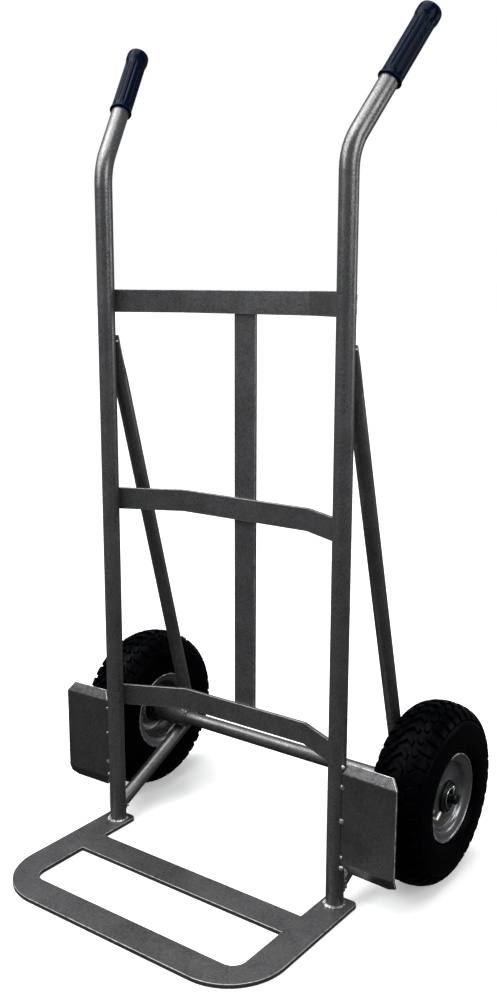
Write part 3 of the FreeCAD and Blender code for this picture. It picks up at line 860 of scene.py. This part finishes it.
def grip_axis(node):
    """Direction, mouth and length of a grip; its vertices spread the most along its axis."""
    pts = np.array([v.co[:] for v in NODES[node].data.vertices])
    middle = pts.mean(0)
    _, _, rows = np.linalg.svd(pts - middle, full_matrices=False)
    axis = Vector(rows[0])
    if axis.z < 0:
        axis.negate()
    along = (pts - middle) @ np.array(axis)
    across = pts - middle - np.outer(along, np.array(axis))
    mouth = across[along < along.min() + 1 * MM]
    centre = Vector((mouth.min(0) + mouth.max(0)) / 2)
    return axis, Vector(middle) + axis * float(along.min()) + centre, float(along.max() - along.min())


grip_verts, grip_faces = grip_mesh()
for side, _ in SIDES:
    axis, mouth, cad_length = grip_axis("grip_" + side)
    turn = axis.to_track_quat("Z", "X").to_matrix()
    fit = cad_length / GRIP_LENGTH
    verts = [mouth + turn @ Vector((v.x, v.y, v.z * fit)) for v in grip_verts]
    mesh_piece(
        "fluted_grip_" + side, verts, grip_faces, GRIP_PVC, "frame",
        ("grip_" + side,), sharp=45.0,
    )


# ---------------------------------------------------------------- weld shapes
def bead(name, path, size, ripple=2.6 * MM, flat=0.8, up=UP, material=WELD):
    """A run of weld: a flattened line with ripples and faded ends."""
    pts = [Vector(p) for p in path]
    dense, dist = [], []
    total = 0.0
    for a, b in zip(pts, pts[1:]):
        steps = max(2, int((b - a).length / (0.45 * MM)))
        for k in range(steps):
            dense.append(a.lerp(b, k / steps))
            dist.append(total + (b - a).length * k / steps)
        total += (b - a).length
    dense.append(pts[-1])
    dist.append(total)

    def size_at(i):
        d = dist[i]
        fade = math.sqrt(min(1.0, min(d, total - d) / (1.4 * size) + 0.04))
        fine = 0.13 * math.sin(2 * math.pi * d / ripple)
        coarse = 0.1 * math.sin(2 * math.pi * d / (7.3 * ripple) + 1.0)
        return size * fade * (1 + fine + coarse)

    verts, faces = swept(dense, size_at, flat, up)
    mesh_piece(name, verts, faces, material, "frame", sharp=60.0)


def lumps(name, places, up=UP, flat=0.55):
    """Tack welds: small uneven drops, each (centre, size), flattened along up."""
    verts, faces = [], []
    rows, around = 9, 16
    for at, (centre, size) in enumerate(places):
        start = len(verts)
        for i in range(rows + 1):
            lift = math.pi * i / rows
            for k in range(around):
                turn = 2 * math.pi * k / around
                swell = 1 + 0.16 * math.sin(3 * turn + 1.7 * at) * math.sin(lift)
                swell += 0.10 * math.sin(5 * turn + 2.3 * lift + at)
                round_x, round_y = math.sin(lift) * math.cos(turn), math.sin(lift) * math.sin(turn)
                p = Vector((round_x, round_y, math.cos(lift))) * (size * swell)
                p -= up * (p.dot(up) * (1 - flat))
                verts.append(Vector(centre) + p)
        for i in range(rows):
            a = start + i * around
            faces += ring_faces_back(a, a + around, around)
    mesh_piece(name, verts, faces, WELD, "frame", sharp=60.0)


def flat_arc(centre, radius, start, end, steps=40):
    """Points on a level arc, from one angle to another in degrees."""
    out = []
    for k in range(steps + 1):
        turn = math.radians(start + (end - start) * k / steps)
        x, y = centre[0] + radius * math.cos(turn), centre[1] + radius * math.sin(turn)
        out.append(Vector((x, y, centre[2])))
    return out


def ring_on_axle(x, radius, steps=72):
    """A closed circle about the axle at the given x."""
    out = []
    for k in range(steps + 1):
        turn = 2 * math.pi * k / steps
        out.append(Vector((x, AXLE_Y + radius * math.cos(turn), AXLE_Z + radius * math.sin(turn))))
    return out


# ---------------------------------------------------------------- welds on the truck
# drops round a stile's foot: turn in degrees, size in mm
FOOT_DROPS = (
    (-150, 3.4), (-128, 2.6), (-108, 3.8), (-84, 3.0), (-62, 4.0), (-38, 2.7), (-12, 3.3), (12, 2.4),
)
# tacks on a guard's seam, as parts of its height
TACKS = {"right": (0.97, 0.79, 0.48, 0.148, 0.047), "left": (0.83, 0.57, 0.27, 0.14)}
HEEL_TURNS = (-80, -45, -10, 25, 205, 240)
HEEL_HEIGHT = 25 * MM     # middle of the drops at the lower brace's end, above the toe plate
HEEL_RISE = 11 * MM       # how far those drops reach above and below it


def foot_welds(side, sx):
    """A run round most of the stile's foot, with drops along its front."""
    x, y = sx * STILE_X, STILE_Y
    ring = flat_arc((x, y, TOE_TOP + 0.4 * MM), STILE_R + 0.6 * MM, -205, 62)
    bead("foot_weld_" + side, ring, 2.2 * MM, 3.4 * MM, 0.75)
    drops = []
    reach = STILE_R + 1.2 * MM
    for degrees, size in FOOT_DROPS:
        turn = math.radians(degrees)
        spot = (x + sx * reach * math.cos(turn), y + reach * math.sin(turn), TOE_TOP + 0.6 * MM)
        drops.append((spot, size * MM))
    lumps("foot_drops_" + side, drops, flat=0.6)


def guard_tacks(side, sx):
    x, y = sx * (GUARD_LO.x + 0.4 * MM), GUARD_HI.y - 8.6 * MM
    height = GUARD_HI.z - GUARD_LO.z
    places = []
    for k, part in enumerate(TACKS[side]):
        places.append(((x, y, GUARD_LO.z + part * height), (2.9 + 0.5 * ((k * 7) % 3)) * MM))
    lumps("guard_tacks_" + side, places, BACKWARDS, 0.7)


def crossbar_welds(side, sx):
    """A run up each coped end, level with the front of the bar."""
    for node in CROSSBARS:
        lo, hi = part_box(node)
        size = 2.4 * MM if node == "top_crossbar" else 1.7 * MM
        x, y = sx * (hi.x + 0.2 * MM), lo.y + 0.6 * MM
        run = [(x, y, lo.z + 2 * MM), (x, y, hi.z - 1 * MM)]
        bead(node + "_weld_" + side, run, size, 3.0 * MM, 0.9, BACKWARDS)


def sleeve_welds(side, sx):
    """The seam where the sleeve meets the axle tube, painted over, and two drops on its upper front."""
    seam = ring_on_axle(sx * (SLEEVE_X + 0.2 * MM), PIPE_R + 1.4 * MM)
    bead("sleeve_weld_" + side, seam, 1.7 * MM, 4.4 * MM, 1.0, ALONG_AXLE, FRAME_PAINT)
    lumps("sleeve_drops_" + side, [
        ((sx * (SLEEVE_X + 1.0 * MM), AXLE_Y - 6 * MM, AXLE_Z + 11.6 * MM), 2.3 * MM),
        ((sx * (SLEEVE_X + 6.0 * MM), AXLE_Y - 8 * MM, AXLE_Z + 13.6 * MM), 1.6 * MM),
    ], flat=0.8)


def brace_top_drops(side, sx):
    y = STILE_Y + STILE_R + 1.2 * MM
    lumps("brace_top_drops_" + side, [
        ((sx * (STILE_X - 7.4 * MM), y - 1 * MM, BRACE_TOP - 9 * MM), 2.2 * MM),
        ((sx * (STILE_X + 7.6 * MM), y - 1 * MM, BRACE_TOP - 6 * MM), 2.4 * MM),
        ((sx * (STILE_X - 1.0 * MM), y + 1 * MM, BRACE_TOP - 2 * MM), 2.6 * MM),
    ], flat=0.8)


def toe_welds(side, sx):
    """Short painted runs at the corners of the toe plate's crossbar."""
    x, length = sx * CROSS_HI.x, 4 * MM
    for name, start in (("front", CROSS_LO.y), ("rear", CROSS_HI.y - length)):
        run = [(x, start, TOE_TOP), (x, start + length, TOE_TOP)]
        bead("toe_weld_%s_%s" % (name, side), run, 1.3 * MM, 2.8 * MM, 0.5, material=FRAME_PAINT)


def lower_brace_drops(side, sx):
    """Drops round the lower brace's end on the back of the stile."""
    y = STILE_Y + STILE_R * 0.75 + 1.5 * MM
    places = []
    for k, degrees in enumerate(HEEL_TURNS):
        turn = math.radians(degrees)
        x = sx * (STILE_X + PIPE_R * math.cos(turn))
        z = TOE_TOP + HEEL_HEIGHT + HEEL_RISE * math.sin(turn)
        places.append(((x, y, z), (2.2 + 0.4 * (k % 3)) * MM))
    lumps("lower_brace_drops_" + side, places, BACKWARDS, 0.8)


WELDS = (
    foot_welds, guard_tacks, crossbar_welds, sleeve_welds, brace_top_drops, toe_welds, lower_brace_drops,
)
for side, sx in SIDES:
    for make in WELDS:
        make(side, sx)


# ---------------------------------------------------------------- floor
def make_floor():
    """A plain pale floor, a little under the truck, which the metal doesn't mirror."""
    half, drop = 30.0, 0.4 * MM
    corners = [(-half, -half, -drop), (half, -half, -drop), (half, half, -drop), (-half, half, -drop)]
    mesh = bpy.data.meshes.new("studio_floor")
    mesh.from_pydata(corners, [], [(0, 1, 2, 3)])
    obj = bpy.data.objects.new("studio_floor", mesh)
    scene.collection.objects.link(obj)
    mat, tree, bsdf, where = new_material("studio_floor")
    cloud = noise(tree, where, scale=1.2, detail=2.0, rough=0.5)
    tree.links.new(layer(tree, rgb(0.90), rgb(0.93), cloud, 0.3, 0.7), bsdf.inputs["Base Color"])
    bsdf.inputs["Roughness"].default_value = 0.9
    bsdf.inputs["Specular IOR Level"].default_value = 0.1
    bsdf.inputs["Emission Color"].default_value = (1, 1, 1, 1)
    bsdf.inputs["Emission Strength"].default_value = 0.32
    mesh.materials.append(mat)
    obj.visible_glossy = False
    obj.visible_diffuse = False


# ---------------------------------------------------------------- light
def make_world():
    """White behind the truck, and a faint light on it that is stronger from above."""
    world = bpy.data.worlds.new("studio")
    scene.world = world
    world.use_nodes = True
    tree = world.node_tree
    tree.nodes.clear()
    out = tree.nodes.new("ShaderNodeOutputWorld")
    seen = tree.nodes.new("ShaderNodeBackground")
    seen.inputs["Color"].default_value = (1, 1, 1, 1)
    seen.inputs["Strength"].default_value = 1.0
    glow = tree.nodes.new("ShaderNodeBackground")
    glow.inputs["Color"].default_value = (0.92, 0.95, 1.0, 1)
    direction = tree.nodes.new("ShaderNodeTexCoord")
    axes = tree.nodes.new("ShaderNodeSeparateXYZ")
    tree.links.new(direction.outputs["Generated"], axes.inputs["Vector"])
    tree.links.new(remap(tree, axes.outputs["Z"], -0.45, 0.12, 0.05, 0.24), glow.inputs["Strength"])
    path = tree.nodes.new("ShaderNodeLightPath")
    mix = tree.nodes.new("ShaderNodeMixShader")
    tree.links.new(path.outputs["Is Camera Ray"], mix.inputs["Fac"])
    tree.links.new(glow.outputs["Background"], mix.inputs[1])
    tree.links.new(seen.outputs["Background"], mix.inputs[2])
    tree.links.new(mix.outputs["Shader"], out.inputs["Surface"])


def add_light(name, data):
    light = bpy.data.objects.new(name, data)
    scene.collection.objects.link(light)
    return light


def sky_light(energy, spread, tilt):
    data = bpy.data.lights.new("sky_light", "SUN")
    data.energy = energy
    data.angle = math.radians(spread)
    light = add_light("sky_light", data)
    light.rotation_euler = [math.radians(a) for a in tilt]


def softbox(name, size, size_y, power, spot, target):
    data = bpy.data.lights.new(name, "AREA")
    data.shape = "RECTANGLE"
    data.size, data.size_y = size, size_y
    data.energy = power
    light = add_light(name, data)
    light.location = spot
    light.rotation_euler = (Vector(target) - Vector(spot)).to_track_quat("-Z", "Y").to_euler()


# name, width, height, power, place, what it points at
SOFTBOXES = (
    ("overhead_softbox", 1.9, 1.6, 46.0, (-0.95, -0.95, 2.35), (0.0, 0.0, 0.7)),
    ("front_left_softbox", 1.5, 0.8, 14.0, (-1.2, -2.3, 1.9), (0.0, 0.0, 0.6)),
    ("back_right_softbox", 1.2, 0.9, 8.0, (2.2, 2.0, 0.9), (0.1, 0.0, 0.3)),
    ("right_softbox", 1.3, 1.5, 26.0, (2.4, -0.3, 1.9), (0.2, 0.1, 0.9)),
)

# ---------------------------------------------------------------- camera
CAM_AT = Vector((0.89812, -1.15131, 0.82989))
CAM_YAW, CAM_PITCH, CAM_ROLL = math.radians(35.97), math.radians(11.61), math.radians(0.28)
CAM_LENS, CAM_SENSOR = 38.70, 36.0
CAM_SHIFT = (-0.0137, 0.0060)


def make_camera():
    """The camera stands right of the truck's front, a little above its middle."""
    data = bpy.data.cameras.new("photo_camera")
    cam = bpy.data.objects.new("photo_camera", data)
    scene.collection.objects.link(cam)
    scene.camera = cam
    level = math.cos(CAM_PITCH)
    back = Vector((math.sin(CAM_YAW) * level, -math.cos(CAM_YAW) * level, math.sin(CAM_PITCH)))
    flat_right = (-back).cross(UP).normalized()
    flat_up = flat_right.cross(-back)
    right = flat_right * math.cos(CAM_ROLL) + flat_up * math.sin(CAM_ROLL)
    up = flat_up * math.cos(CAM_ROLL) - flat_right * math.sin(CAM_ROLL)
    rows = [(right[k], up[k], back[k], CAM_AT[k]) for k in range(3)]
    cam.matrix_world = Matrix(rows + [(0, 0, 0, 1)])
    data.sensor_width = CAM_SENSOR
    data.lens = CAM_LENS
    data.shift_x, data.shift_y = CAM_SHIFT
    data.clip_start = 0.05
    data.clip_end = 100.0


make_floor()
make_world()
sky_light(energy=2.9, spread=60, tilt=(8, -6, 0))
for row in SOFTBOXES:
    softbox(*row)
make_camera()
scene.view_settings.view_transform = "Standard"
scene.view_settings.look = "None"
